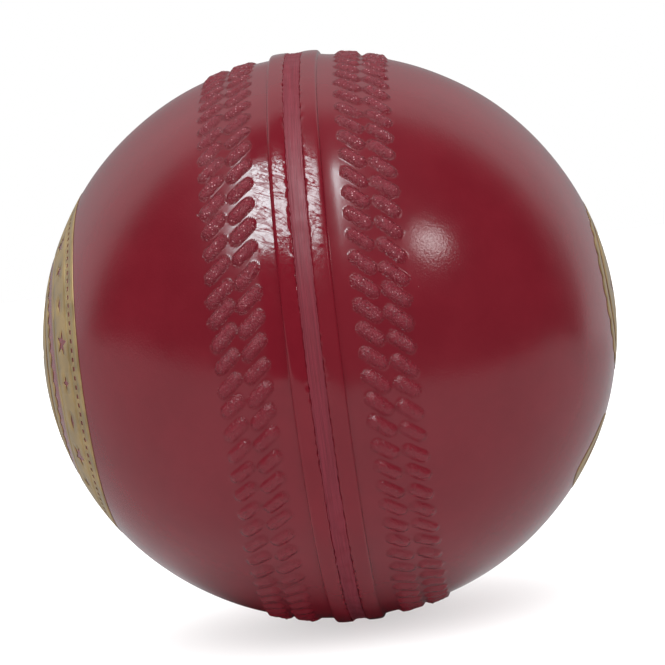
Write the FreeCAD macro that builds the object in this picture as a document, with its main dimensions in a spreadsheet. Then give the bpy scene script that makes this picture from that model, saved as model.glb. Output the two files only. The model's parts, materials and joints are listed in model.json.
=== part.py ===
"""Moulded practice cricket ball, in millimetres.

The ball's centre is the origin.  X is the seam axis, through the middles of the two cheeks.
The seam lies in the YZ plane, Z is up, and -Y is the front of the ball.
"""
import FreeCAD, Part
import Sketcher
import math
import os

V = FreeCAD.Vector
X_AXIS = V(1, 0, 0)
Y_AXIS = V(0, 1, 0)
Z_AXIS = V(0, 0, 1)
QUARTER_TURN = 90.0
# A rotation keeps its axis only while its angle isn't zero, so it starts with this angle.
STARTING_TURN = 5.0

SIZES = [
    ("nucleus_radius", 11.0, "rubber ball at the centre"),
    ("cup_wall", 8.0, "two cork cups round the nucleus"),
    ("inner_winding_wall", 4.0, "first layer of yarn"),
    ("quarter_wall", 4.5, "four cork quarters"),
    ("outer_winding_wall", 4.4, "second layer of yarn"),
    ("cover_wall", 3.4, "moulded cover beside the seam"),
    ("cheek_offset", 0.7, "centre of each cheek's sphere, out from the parting plane"),
    ("bead_half_width", 0.82, "half the width of the parting bead"),
    ("bead_root", 0.9, "how far the bead goes in below the cover's base surface"),
    ("bead_drop", 0.1, "how far the bead's face lies below the lips"),
    ("lip_edge", 3.0, "outer edge of each lip, from the parting plane"),
    ("lip_height", 0.6, "lips above the cover's base surface"),
    ("lip_round", 0.42, "rounding of the lip's outer edge"),
    ("lip_root_round", 0.3, "rounding where the lip meets the base surface"),
    ("lip_gap", 1.98, "smooth gap between a lip and the inner stitch row"),
    ("row_gap", 0.22, "gap between the two stitch rows of one half"),
    ("stitch_count", 82, "stitches in each row"),
    ("stitch_slant", 40.0, "slant of a stitch, in degrees from the seam axis"),
    ("stitch_length", 3.68, "one stitch from end to end"),
    ("stitch_radius", 0.6, "half width and height of one stitch"),
    ("stitch_sink", 0.03, "stitch axis below the base surface"),
    ("foil_thickness", 0.1, "stamped foil"),
    ("ring_outer_angle", 38.2, "foil ring's outer edge, in degrees from the cheek's pole"),
    ("ring_inner_angle", 26.5, "foil ring's inner edge"),
    ("medallion_angle", 23.5, "foil medallion's edge"),
    ("roundel_angle", 17.5, "foil roundel's edge, in degrees from its own middle"),
    ("roundel_lift", 4.0, "foil roundel's middle, in degrees above the cheek's pole"),
    ("plaque_inner_angle", 23.0, "foil plaque's upper edge, in degrees from the cheek's pole"),
    ("plaque_outer_angle", 39.5, "foil plaque's lower edge"),
    ("plaque_sweep", 56.0, "how far the foil plaque runs round the pole"),
]


def sized(*names):
    """An expression that adds the named sizes."""
    return " + ".join("Sizes." + name for name in names)


CUP_RADIUS = sized("nucleus_radius", "cup_wall")
INNER_WINDING_RADIUS = CUP_RADIUS + " + Sizes.inner_winding_wall"
QUARTER_RADIUS = INNER_WINDING_RADIUS + " + Sizes.quarter_wall"
CORE_RADIUS = QUARTER_RADIUS + " + Sizes.outer_winding_wall"
CHEEK_RADIUS = CORE_RADIUS + " + Sizes.cover_wall"
LIP_RADIUS = CHEEK_RADIUS + " + Sizes.lip_height"
BEAD_ROOT_RADIUS = CHEEK_RADIUS + " - Sizes.bead_root"
BEAD_RADIUS = LIP_RADIUS + " - Sizes.bead_drop"
FOIL_RADIUS = CHEEK_RADIUS + " + Sizes.foil_thickness"
ROW_HALF_WIDTH = (
    "((Sizes.stitch_length / 2 - Sizes.stitch_radius) * cos(Sizes.stitch_slant)"
    " + Sizes.stitch_radius)"
)
INNER_ROW_PLACE = "(Sizes.lip_edge + Sizes.lip_gap + %s)" % ROW_HALF_WIDTH
OUTER_ROW_PLACE = "(%s + 2 * %s + Sizes.row_gap)" % (INNER_ROW_PLACE, ROW_HALF_WIDTH)


def make_sheet(doc):
    """The driving dimensions, one row each: name, value and what it is."""
    sheet = doc.addObject("Spreadsheet::Sheet", "Sizes")
    for row, (name, value, note) in enumerate(SIZES, start=1):
        sheet.set("A%d" % row, name)
        sheet.set("B%d" % row, str(value))
        sheet.setAlias("B%d" % row, name)
        sheet.set("C%d" % row, note)
    doc.recompute()
    return sheet


def value_of(sheet, expression):
    """The number that an expression on the sheet has now."""
    return float(sheet.evalExpression(expression.replace("Sizes.", "")))


# ---- inside layers -------------------------------------------------------------------------

def ball(doc, name, radius, low=-90.0, high=90.0, sweep=360.0):
    """A solid sphere, or the part of it between two latitudes and round a sweep."""
    sphere = doc.addObject("Part::Sphere", name)
    sphere.Angle1 = low
    sphere.Angle2 = high
    sphere.Angle3 = sweep
    sphere.setExpression("Radius", radius)
    return sphere


def shell(doc, name, outer, inner_radius):
    """What is left of a solid when a ball of the inner radius is taken from it."""
    hollow = ball(doc, name + "_hollow", inner_radius)
    cut = doc.addObject("Part::Cut", name)
    cut.Base = outer
    cut.Tool = hollow
    cut.Label = name
    return cut


def make_nucleus(doc):
    """The rubber ball at the centre."""
    return [ball(doc, "nucleus", "Sizes.nucleus_radius")]


def make_cork_cups(doc):
    """Two cork hemispheres, hollowed for the nucleus, that meet on the XY plane."""
    cups = []
    for name, low, high in (("cork_cup_upper", 0.0, 90.0), ("cork_cup_lower", -90.0, 0.0)):
        outer = ball(doc, name + "_outer", CUP_RADIUS, low, high)
        cups.append(shell(doc, name, outer, "Sizes.nucleus_radius"))
    return cups


def make_inner_winding(doc):
    """Worsted yarn wound on the cups, as one solid layer."""
    outer = ball(doc, "inner_winding_outer", INNER_WINDING_RADIUS)
    return [shell(doc, "inner_winding", outer, CUP_RADIUS)]


def make_cork_quarters(doc):
    """Four cork shells, a quarter turn each round the seam axis."""
    quarters = []
    for number in range(4):
        name = "cork_quarter_%d" % (number + 1)
        outer = ball(doc, name + "_outer", QUARTER_RADIUS, sweep=QUARTER_TURN)
        turn = FreeCAD.Rotation(X_AXIS, QUARTER_TURN * (number + 0.5))
        stand = FreeCAD.Rotation(Y_AXIS, QUARTER_TURN)
        outer.Placement = FreeCAD.Placement(V(), turn.multiply(stand))
        quarters.append(shell(doc, name, outer, INNER_WINDING_RADIUS))
    return quarters


def make_outer_winding(doc):
    """The second yarn layer, which the cover is moulded against."""
    outer = ball(doc, "outer_winding_outer", CORE_RADIUS)
    return [shell(doc, "outer_winding", outer, QUARTER_RADIUS)]


# ---- cover ---------------------------------------------------------------------------------

def origin_feature(body, role):
    """The body's own plane or axis with this role."""
    return [item for item in body.Origin.OriginFeatures if item.Role == role][0]


def new_sketch(body, name, support, offset=None):
    """A sketch laid flat on a plane of its own body."""
    sketch = body.newObject("Sketcher::SketchObject", name)
    sketch.AttachmentSupport = [(support, "")]
    sketch.MapMode = "FlatFace"
    if offset:
        sketch.AttachmentOffset = offset
    return sketch


def bound(sketch, name, expression, constraint):
    """Adds a constraint, names it and ties it to the sheet."""
    index = sketch.addConstraint(constraint)
    sketch.renameConstraint(index, name)
    sketch.setExpression("Constraints." + name, expression)


def chain(sketch, links):
    """Joins the ends of the sketch's curves, each link a pair of (curve, end)."""
    for (first, first_end), (second, second_end) in links:
        sketch.addConstraint(Sketcher.Constraint("Coincident", first, first_end, second, second_end))


def line(start, end):
    """A sketch line between two (x, y) points."""
    return Part.LineSegment(V(start[0], start[1], 0), V(end[0], end[1], 0))


def arc(center_x, radius, first, last):
    """A sketch arc about a point on the sketch's X axis, between two angles in degrees."""
    circle = Part.Circle(V(center_x, 0, 0), Z_AXIS, radius)
    return Part.ArcOfCircle(circle, math.radians(first), math.radians(last))


def shell_profile(body, sheet):
    """Half section of one cover half: core side, pole, cheek, lip, bead rebate, parting face."""
    core = value_of(sheet, CORE_RADIUS)
    cheek = value_of(sheet, CHEEK_RADIUS)
    lip = value_of(sheet, LIP_RADIUS)
    root = value_of(sheet, BEAD_ROOT_RADIUS)
    offset = sheet.cheek_offset
    edge = sheet.lip_edge
    bead = sheet.bead_half_width
    edge_angle = math.acos((edge - offset) / cheek)
    edge_y = cheek * math.sin(edge_angle)
    sketch = new_sketch(body, "shell_profile", origin_feature(body, "XZ_Plane"))
    curves = [
        arc(0, core, 0, 90),
        line((core, 0), (offset + cheek, 0)),
        arc(offset, cheek, 0, math.degrees(edge_angle)),
        line((edge, edge_y), (edge, lip)),
        line((edge, lip), (bead, lip)),
        line((bead, lip), (bead, root)),
        line((bead, root), (0, root)),
        line((0, root), (0, core)),
    ]
    sketch.addGeometry(curves, False)
    core_arc, axis_line, cheek_arc, lip_wall, lip_top, bead_wall, bead_floor, parting = range(8)
    chain(sketch, [
        ((core_arc, 1), (axis_line, 1)),
        ((axis_line, 2), (cheek_arc, 1)),
        ((cheek_arc, 2), (lip_wall, 1)),
        ((lip_wall, 2), (lip_top, 1)),
        ((lip_top, 2), (bead_wall, 1)),
        ((bead_wall, 2), (bead_floor, 1)),
        ((bead_floor, 2), (parting, 1)),
        ((parting, 2), (core_arc, 2)),
        ((core_arc, 3), (-1, 1)),
    ])
    for curve, end, axis in ((cheek_arc, 3, -1), (axis_line, 1, -1), (parting, 2, -2)):
        sketch.addConstraint(Sketcher.Constraint("PointOnObject", curve, end, axis))
    for curve in (axis_line, lip_top, bead_floor):
        sketch.addConstraint(Sketcher.Constraint("Horizontal", curve))
    for curve in (lip_wall, bead_wall, parting):
        sketch.addConstraint(Sketcher.Constraint("Vertical", curve))
    bound(sketch, "core_radius", CORE_RADIUS, Sketcher.Constraint("Radius", core_arc, core))
    bound(sketch, "cheek_radius", CHEEK_RADIUS, Sketcher.Constraint("Radius", cheek_arc, cheek))
    bound(sketch, "cheek_offset", "Sizes.cheek_offset",
          Sketcher.Constraint("DistanceX", -1, 1, cheek_arc, 3, offset))
    bound(sketch, "lip_edge", "Sizes.lip_edge",
          Sketcher.Constraint("DistanceX", -1, 1, lip_wall, 1, edge))
    bound(sketch, "lip_radius", LIP_RADIUS,
          Sketcher.Constraint("DistanceY", -1, 1, lip_top, 1, lip))
    bound(sketch, "bead_half_width", "Sizes.bead_half_width",
          Sketcher.Constraint("DistanceX", -1, 1, bead_wall, 1, bead))
    bound(sketch, "bead_root_radius", BEAD_ROOT_RADIUS,
          Sketcher.Constraint("DistanceY", -1, 1, bead_floor, 1, root))
    return sketch


def revolve(body, name, sketch, reference):
    """A full turn of a sketch about one of its own axes."""
    turned = body.newObject("PartDesign::Revolution", name)
    turned.Profile = sketch
    turned.ReferenceAxis = (sketch, [reference])
    turned.Angle = 360.0
    return turned


def ring_edges(feature, axial, radius):
    """Names of the round edges about the seam axis at this distance along it and this radius."""
    found = []
    for number, edge in enumerate(feature.Shape.Edges, start=1):
        point = edge.Vertexes[0].Point
        near = abs(point.x - axial) < 1e-3 and abs(math.hypot(point.y, point.z) - radius) < 1e-3
        if near and isinstance(edge.Curve, Part.Circle):
            found.append("Edge%d" % number)
    return found


def rounded(body, name, feature, edges, radius):
    """A fillet on the named edges, its radius tied to the sheet."""
    fillet = body.newObject("PartDesign::Fillet", name)
    fillet.Base = (feature, edges)
    fillet.setExpression("Radius", radius)
    return fillet


def round_lip(doc, body, sheet, turned):
    """Rounds the lip's outer edge, and then the corner where it meets the base surface."""
    doc.recompute()
    edge = sheet.lip_edge
    cheek = value_of(sheet, CHEEK_RADIUS)
    root_radius = math.sqrt(cheek ** 2 - (edge - sheet.cheek_offset) ** 2)
    top = ring_edges(turned, edge, value_of(sheet, LIP_RADIUS))
    lip = rounded(body, "lip_rounding", turned, top, "Sizes.lip_round")
    doc.recompute()
    foot = ring_edges(lip, edge, root_radius)
    root = rounded(body, "lip_root_rounding", lip, foot, "Sizes.lip_root_round")
    doc.recompute()
    return root


def capsule_profile(body, sheet, name, plane):
    """Half of a stadium on the stitch's own axis, laid at the stitch's slant."""
    radius = sheet.stitch_radius
    half = sheet.stitch_length / 2
    straight = half - radius
    slant = FreeCAD.Rotation(Z_AXIS, -STARTING_TURN)
    sketch = new_sketch(body, name, plane, FreeCAD.Placement(V(), slant))
    sketch.setExpression("AttachmentOffset.Rotation.Angle", "-Sizes.stitch_slant")
    sketch.addGeometry([
        arc(straight, radius, 0, 90),
        line((straight, radius), (-straight, radius)),
        arc(-straight, radius, 90, 180),
        line((-half, 0), (half, 0)),
    ], False)
    far_end, side, near_end, axis = range(4)
    chain(sketch, [
        ((far_end, 2), (side, 1)),
        ((side, 2), (near_end, 1)),
        ((near_end, 2), (axis, 1)),
        ((axis, 2), (far_end, 1)),
    ])
    for curve, end in ((far_end, 3), (axis, 1)):
        sketch.addConstraint(Sketcher.Constraint("PointOnObject", curve, end, -1))
    for curve in (side, axis):
        sketch.addConstraint(Sketcher.Constraint("Horizontal", curve))
    sketch.addConstraint(Sketcher.Constraint("Vertical", far_end, 2, far_end, 3))
    sketch.addConstraint(Sketcher.Constraint("Vertical", near_end, 1, near_end, 3))
    sketch.addConstraint(Sketcher.Constraint("Symmetric", near_end, 3, far_end, 3, -1, 1))
    bound(sketch, "stitch_radius", "Sizes.stitch_radius",
          Sketcher.Constraint("Radius", far_end, radius))
    bound(sketch, "stitch_length", "Sizes.stitch_length",
          Sketcher.Constraint("DistanceX", axis, 1, axis, 2, 2 * half))
    return sketch


def tangent_plane(body, name, support, place):
    """A plane that touches the cheek, sunk a little, at this distance from the parting plane."""
    plane = body.newObject("PartDesign::Plane", name)
    plane.AttachmentSupport = [(support, "")]
    plane.MapMode = "FlatFace"
    plane.AttachmentOffset = FreeCAD.Placement(V(), FreeCAD.Rotation(Y_AXIS, STARTING_TURN))
    tilt = "asin((%s - Sizes.cheek_offset) / (%s))" % (place, CHEEK_RADIUS)
    reach = "(%s - Sizes.stitch_sink)" % CHEEK_RADIUS
    plane.setExpression("AttachmentOffset.Rotation.Angle", tilt)
    plane.setExpression("AttachmentOffset.Base.x", "Sizes.cheek_offset + %s * sin(%s)" % (reach, tilt))
    plane.setExpression("AttachmentOffset.Base.z", "%s * cos(%s)" % (reach, tilt))
    return plane


def stagger_plane(body):
    """The body's XY plane turned half a stitch about the seam axis, for the outer row."""
    plane = body.newObject("PartDesign::Plane", "stagger_plane")
    plane.AttachmentSupport = [(origin_feature(body, "XY_Plane"), "")]
    plane.MapMode = "FlatFace"
    plane.AttachmentOffset = FreeCAD.Placement(V(), FreeCAD.Rotation(X_AXIS, STARTING_TURN))
    plane.setExpression("AttachmentOffset.Rotation.Angle", "180 / Sizes.stitch_count")
    return plane


def stitch_row(doc, body, sheet, name, support, place):
    """One raised stitch on the cheek, repeated evenly round the seam axis."""
    plane = tangent_plane(body, name + "_plane", support, place)
    profile = capsule_profile(body, sheet, name + "_profile", plane)
    stitch = revolve(body, name + "_stitch", profile, "H_Axis")
    pattern = body.newObject("PartDesign::PolarPattern", name)
    pattern.Originals = [stitch]
    pattern.Axis = (origin_feature(body, "X_Axis"), [""])
    pattern.Angle = 360.0
    pattern.setExpression("Occurrences", "Sizes.stitch_count")
    body.Tip = pattern
    doc.recompute()
    return pattern


def make_cover(doc, sheet):
    """The right cover half with its lip and two rows of stitches, and its mirror image."""
    right = doc.addObject("PartDesign::Body", "cover_half_right")
    profile = shell_profile(right, sheet)
    turned = revolve(right, "shell", profile, "H_Axis")
    round_lip(doc, right, sheet, turned)
    upright = origin_feature(right, "XY_Plane")
    stitch_row(doc, right, sheet, "inner_row", upright, INNER_ROW_PLACE)
    stitch_row(doc, right, sheet, "outer_row", stagger_plane(right), OUTER_ROW_PLACE)
    left = doc.addObject("Part::Mirroring", "cover_half_left")
    left.Source = right
    left.Normal = X_AXIS
    return [right, left]


def make_bead(doc, sheet):
    """The bead that fills the groove between the lips and joins the two halves."""
    half = sheet.bead_half_width
    low = value_of(sheet, BEAD_ROOT_RADIUS)
    high = value_of(sheet, BEAD_RADIUS)
    body = doc.addObject("PartDesign::Body", "parting_bead")
    sketch = new_sketch(body, "bead_profile", origin_feature(body, "XZ_Plane"))
    corners = [(-half, low), (half, low), (half, high), (-half, high)]
    sketch.addGeometry([line(corners[i], corners[(i + 1) % 4]) for i in range(4)], False)
    chain(sketch, [((i, 2), ((i + 1) % 4, 1)) for i in range(4)])
    sketch.addConstraint(Sketcher.Constraint("Horizontal", 2))
    for curve in (1, 3):
        sketch.addConstraint(Sketcher.Constraint("Vertical", curve))
    sketch.addConstraint(Sketcher.Constraint("Symmetric", 0, 1, 0, 2, -2))
    bound(sketch, "half_width", "Sizes.bead_half_width",
          Sketcher.Constraint("DistanceX", -1, 1, 0, 2, half))
    bound(sketch, "root_radius", BEAD_ROOT_RADIUS,
          Sketcher.Constraint("DistanceY", -1, 1, 0, 2, low))
    bound(sketch, "face_radius", BEAD_RADIUS,
          Sketcher.Constraint("DistanceY", -1, 1, 2, 1, high))
    revolve(body, "bead", sketch, "H_Axis")
    return [body]


# ---- foil ----------------------------------------------------------------------------------

def foil(doc, name, side, outer_angle, inner_angle="0", sweep="360", start=0.0, lift=0.0):
    """Foil on one cheek (side +1 right, -1 left), between two angles from the cheek's pole.

    A sweep of less than a full turn begins at start, in degrees from straight down.  The lift
    turns the whole foil up the cheek, in degrees.
    """
    center = "%d * Sizes.cheek_offset" % side
    patch = ball(doc, name + "_outer", FOIL_RADIUS)
    patch.setExpression("Angle1", "90 - %s" % outer_angle)
    patch.setExpression("Angle2", "90 - %s" % inner_angle)
    patch.setExpression("Angle3", sweep)
    stand = FreeCAD.Rotation(Y_AXIS, (QUARTER_TURN - lift) * side)
    turn = FreeCAD.Rotation(X_AXIS, start)
    patch.Placement = FreeCAD.Placement(V(), turn.multiply(stand))
    patch.setExpression("Placement.Base.x", center)
    film = shell(doc, name, patch, CHEEK_RADIUS)
    film.Tool.setExpression("Placement.Base.x", center)
    return film


def make_foils(doc, sheet):
    """Left cheek: a ring and a medallion.  Right cheek: a roundel with a plaque below it."""
    return [
        foil(doc, "foil_ring", -1, "Sizes.ring_outer_angle", "Sizes.ring_inner_angle"),
        foil(doc, "foil_medallion", -1, "Sizes.medallion_angle"),
        foil(doc, "foil_roundel", 1, "Sizes.roundel_angle", lift=sheet.roundel_lift),
        foil(doc, "foil_plaque", 1, "Sizes.plaque_outer_angle", "Sizes.plaque_inner_angle",
             "Sizes.plaque_sweep", start=-sheet.plaque_sweep / 2),
    ]


# ---- checks and files ----------------------------------------------------------------------

def check_document(doc, parts):
    """Stops if any object failed, or a sub-part's shape is empty, broken or not solid."""
    for item in doc.Objects:
        if "Invalid" in item.State or "Error" in item.State:
            raise RuntimeError("%s failed: %s" % (item.Name, item.State))
    for part in parts:
        shape = part.Shape
        if shape.isNull() or not shape.isValid() or not shape.Solids:
            raise RuntimeError(part.Label + " has no valid solid")


def main():
    """Builds the document, checks it and writes one file for each sub-part."""
    doc = FreeCAD.newDocument("cricket_ball")
    sheet = make_sheet(doc)
    parts = make_nucleus(doc)
    parts += make_cork_cups(doc)
    parts += make_inner_winding(doc)
    parts += make_cork_quarters(doc)
    parts += make_outer_winding(doc)
    parts += make_cover(doc, sheet)
    parts += make_bead(doc, sheet)
    parts += make_foils(doc, sheet)
    doc.recompute()
    check_document(doc, parts)
    os.makedirs("parts", exist_ok=True)
    for part in parts:
        part.Shape.exportStep("parts/%s.step" % part.Label)
        print("%-20s solids %d  faces %4d  volume %9.1f" % (
            part.Label, len(part.Shape.Solids), len(part.Shape.Faces), part.Shape.Volume))


main()
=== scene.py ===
"""Looks for a moulded practice cricket ball: cover halves, parting bead, foils, core and stage.

The ball's centre is the origin, X is the seam axis, Z is up and -Y is the front.
Lengths are in metres, except where a name ends in _MM or a comment says otherwise.
"""

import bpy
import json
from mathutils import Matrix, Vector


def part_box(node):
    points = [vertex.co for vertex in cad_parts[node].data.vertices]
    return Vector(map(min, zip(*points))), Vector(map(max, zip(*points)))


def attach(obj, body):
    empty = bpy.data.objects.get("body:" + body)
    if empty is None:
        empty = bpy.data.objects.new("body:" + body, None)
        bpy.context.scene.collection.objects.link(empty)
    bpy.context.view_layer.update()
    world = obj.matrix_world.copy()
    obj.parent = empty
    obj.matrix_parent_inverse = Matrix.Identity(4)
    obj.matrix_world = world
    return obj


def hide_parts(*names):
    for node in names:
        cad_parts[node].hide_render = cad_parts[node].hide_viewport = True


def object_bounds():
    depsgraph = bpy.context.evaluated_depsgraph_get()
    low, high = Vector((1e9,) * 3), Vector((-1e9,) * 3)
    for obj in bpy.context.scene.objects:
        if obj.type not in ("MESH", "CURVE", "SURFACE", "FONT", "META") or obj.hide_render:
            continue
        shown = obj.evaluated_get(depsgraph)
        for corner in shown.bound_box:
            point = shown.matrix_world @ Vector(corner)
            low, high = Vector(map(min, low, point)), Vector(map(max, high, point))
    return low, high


bl_info = {
    "name": "Moulded cricket ball",
    "version": (1, 0, 0),
    "blender": (4, 5, 0),
    "location": "3D View > Sidebar > Cricket ball",
    "description": "Builds the visible surfaces and finishes of a moulded cricket ball",
    "category": "Add Mesh",
}

import json
import math

import bpy
import numpy as np
from mathutils import Matrix, Vector

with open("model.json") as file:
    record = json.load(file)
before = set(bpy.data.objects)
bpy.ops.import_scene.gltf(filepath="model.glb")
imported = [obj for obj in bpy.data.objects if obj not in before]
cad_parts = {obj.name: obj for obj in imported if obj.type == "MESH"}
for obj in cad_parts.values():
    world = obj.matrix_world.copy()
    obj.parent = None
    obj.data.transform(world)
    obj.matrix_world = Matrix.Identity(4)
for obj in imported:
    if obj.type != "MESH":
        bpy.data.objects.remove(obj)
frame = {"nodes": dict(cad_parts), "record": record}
CAD_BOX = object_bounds()

MM = 0.001
FULL_TURN = 2 * math.pi

# Sizes that the frame gives.
COVER_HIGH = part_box("cover_half_right")[1]
BEAD_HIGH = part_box("parting_bead")[1]
CORE_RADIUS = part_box("outer_winding")[1].z
LIP_RADIUS = COVER_HIGH.z
POLE_X = COVER_HIGH.x
BEAD_HALF_WIDTH = BEAD_HIGH.x
BEAD_FACE = BEAD_HIGH.z


# ---- settings ----

class SeamSettings(bpy.types.PropertyGroup):
    """Sizes of the raised seam."""
    cheek_offset: bpy.props.FloatProperty(
        name="Cheek offset", description="Each cheek's sphere centre, out from the seam plane",
        default=0.7 * MM, unit="LENGTH")
    lip_height: bpy.props.FloatProperty(
        name="Lip height", description="Lips above the cover's base surface",
        default=0.6 * MM, unit="LENGTH")
    lip_edge: bpy.props.FloatProperty(
        name="Lip edge", description="Outer edge of a lip, from the seam plane",
        default=3.0 * MM, unit="LENGTH")
    bead_root: bpy.props.FloatProperty(
        name="Bead root", description="Depth of the groove between the lips",
        default=0.9 * MM, unit="LENGTH")
    stitches: bpy.props.IntProperty(
        name="Stitches", description="Moulded stitches in each of the four rows", default=82)
    inner_row: bpy.props.FloatProperty(
        name="Inner row",
        description="Middle of the inner row, along the surface from the seam plane",
        default=6.56 * MM, unit="LENGTH")
    outer_row: bpy.props.FloatProperty(
        name="Outer row",
        description="Middle of the outer row, along the surface from the seam plane",
        default=9.94 * MM, unit="LENGTH")
    stitch_length: bpy.props.FloatProperty(
        name="Stitch length", description="A stitch from end to end",
        default=3.80 * MM, unit="LENGTH")
    stitch_radius: bpy.props.FloatProperty(
        name="Stitch radius", description="Half of a stitch's width",
        default=0.90 * MM, unit="LENGTH")
    stitch_height: bpy.props.FloatProperty(
        name="Stitch height", description="How far a stitch stands out",
        default=0.40 * MM, unit="LENGTH")
    stitch_slant: bpy.props.FloatProperty(
        name="Stitch slant", description="A stitch's slant from the seam axis",
        default=math.radians(40), subtype="ANGLE")


class FinishSettings(bpy.types.PropertyGroup):
    """Colours of the ball's materials."""
    cover_colour: bpy.props.FloatVectorProperty(
        name="Cover", description="Glossy moulded cover", subtype="COLOR",
        default=(0.108, 0.0050, 0.0105), min=0, max=1)
    # Paler than the cover: partly the stitches' own colour, partly painted sheen.
    stitch_colour: bpy.props.FloatVectorProperty(
        name="Stitches", description="Sandy moulded stitches", subtype="COLOR",
        default=(0.175, 0.021, 0.033), min=0, max=1)
    bead_colour: bpy.props.FloatVectorProperty(
        name="Bead", description="Matte trimmed bead in the seam", subtype="COLOR",
        default=(0.132, 0.013, 0.023), min=0, max=1)
    foil_colour: bpy.props.FloatVectorProperty(
        name="Foil", description="Aged gold foil", subtype="COLOR",
        default=(0.30, 0.205, 0.088), min=0, max=1)


class StageSettings(bpy.types.PropertyGroup):
    """Camera and lights."""
    azimuth: bpy.props.FloatProperty(
        name="Azimuth", description="Camera's turn round the ball from the front",
        default=math.radians(3.2), subtype="ANGLE")
    elevation: bpy.props.FloatProperty(
        name="Elevation", description="Camera's height above the ball's middle",
        default=math.radians(2.55), subtype="ANGLE")
    roll: bpy.props.FloatProperty(
        name="Roll", description="How far the camera leans over to its right",
        default=math.radians(6.8), subtype="ANGLE")
    distance: bpy.props.FloatProperty(
        name="Distance", description="Camera from the ball's centre", default=0.288, unit="LENGTH")
    lens: bpy.props.FloatProperty(
        name="Lens", description="Focal length in millimetres", default=123.3)
    floor_colour: bpy.props.FloatVectorProperty(
        name="Floor", description="Pale table top", subtype="COLOR",
        default=(0.80, 0.80, 0.80), min=0, max=1)
    table_radiance: bpy.props.FloatProperty(
        name="Table", description="Brightness of the table top in the glossy cover", default=0.62)
    key_radiance: bpy.props.FloatProperty(
        name="Key light", description="Brightness of the large soft box", default=18.5)
    round_radiance: bpy.props.FloatProperty(
        name="Round light", description="Brightness of the small round soft box", default=15.0)
    soft_strength: bpy.props.FloatProperty(
        name="Soft light", description="Strength of the wide overhead light", default=3.5)
    bounce_strength: bpy.props.FloatProperty(
        name="Bounce light", description="Strength of the weak light from below", default=0.38)


# ---- numpy tools ----

def ripple(points, wavelength, seed, waves=18):
    """Smooth noise from about -1 to 1: the mean of sine waves of one wavelength that run in
    seeded random directions, each wave being the sine of (direction . point + phase)."""
    rng = np.random.default_rng(seed)
    directions = rng.normal(size=(waves, 3))
    directions /= np.linalg.norm(directions, axis=1)[:, None]
    lengths = wavelength * rng.uniform(0.75, 1.35, waves)
    phases = rng.uniform(0, FULL_TURN, waves)
    angles = points @ (directions * (FULL_TURN / lengths)[:, None]).T + phases
    return np.sin(angles).sum(axis=-1) * (1.4 / math.sqrt(waves))


def smooth(low, high, value):
    """0 below low, 1 above high, and 3t2 - 2t3 between them."""
    share = np.clip((value - low) / (high - low), 0.0, 1.0)
    return share * share * (3 - 2 * share)


def new_object(name, data):
    """A new object in the scene."""
    made = bpy.data.objects.new(name, data)
    bpy.context.scene.collection.objects.link(made)
    return made


def new_piece(name, points, faces, material, nodes, fields=None):
    """A smooth mesh object from points and lists of faces, with point fields stored as
    attributes, riding on the ball and standing for these CAD nodes."""
    mesh = bpy.data.meshes.new(name)
    mesh.from_pydata(points.tolist(), [], faces)
    mesh.validate()
    mesh.polygons.foreach_set("use_smooth", np.ones(len(mesh.polygons), bool))
    for field, values in (fields or {}).items():
        attribute = mesh.attributes.new(field, "FLOAT", "POINT")
        attribute.data.foreach_set("value", values.astype(np.float32))
    mesh.materials.append(material)
    mesh.update()
    piece = new_object(name, mesh)
    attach(piece, "root")
    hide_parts(*nodes)
    return piece


def join_rings(sizes, flip=False):
    """Faces that join each closed ring of points to the next, where a ring has as many columns
    as the next, twice as many or half as many, or is a single point."""
    faces = []
    starts = np.concatenate([[0], np.cumsum(sizes)])
    for number, (a_size, b_size) in enumerate(zip(sizes[:-1], sizes[1:])):
        a, b = starts[number], starts[number + 1]
        least, most = sorted((a_size, b_size))
        small = np.arange(least if least > 1 else most)
        after = (small + 1) % len(small)
        if a_size == b_size:
            block = [(a + small, b + small, b + after, a + after)]
        elif b_size == 1:
            block = [(a + small, np.full_like(small, b), a + after)]
        elif a_size == 1:
            block = [(np.full_like(small, a), b + small, b + after)]
        elif a_size == 2 * b_size:
            first, middle, last = a + 2 * small, a + 2 * small + 1, a + 2 * after
            block = [(first, b + small, middle), (b + small, b + after, middle),
                     (b + after, last, middle)]
        else:
            first, middle, last = b + 2 * small, b + 2 * small + 1, b + 2 * after
            block = [(a + small, first, middle), (a + small, middle, a + after),
                     (middle, last, a + after)]
        for corners in block:
            part = np.stack(corners, 1)
            faces += (part[:, ::-1] if flip else part).tolist()
    return faces


# ---- cover halves ----

COLUMNS_PER_STITCH = 20
ROW_MARGIN = 0.02 * MM
COVER_WAVE = 0.014 * MM
COVER_WAVELENGTH = 11 * MM

# The lip: its two rounded edges, its crown, the fillet at its foot, and the band beside the bead
# where its edge is ragged.
INNER_ROUND = 0.34 * MM
SHOULDER = 0.38 * MM
CROWN_MIDDLE, CROWN_DROP = 0.03 * MM, 0.12 * MM
FILLET, FILLET_RISE = 0.10 * MM, 0.055 * MM
RAG_START, RAG_END, RAG_DEPTH = 0.9 * MM, 1.3 * MM, 0.05 * MM

# How high the gap starts beside each lip, and the share of its width where it has come down.
GAP_FLOOR = {1: 0.110 * MM, -1: 0.012 * MM}
GAP_SAG_END = 0.75

# Standard deviations of the stitches' places (in pitches), slants and sizes (as shares), and how
# much more they stand out on their upper side.
PLACE_SPREAD = 0.025
SLANT_SPREAD = math.radians(2.0)
WIDTH_SPREAD, LENGTH_SPREAD, RISE_SPREAD = 0.045, 0.03, 0.05
UPPER_SIDE_TILT = 0.32


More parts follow.
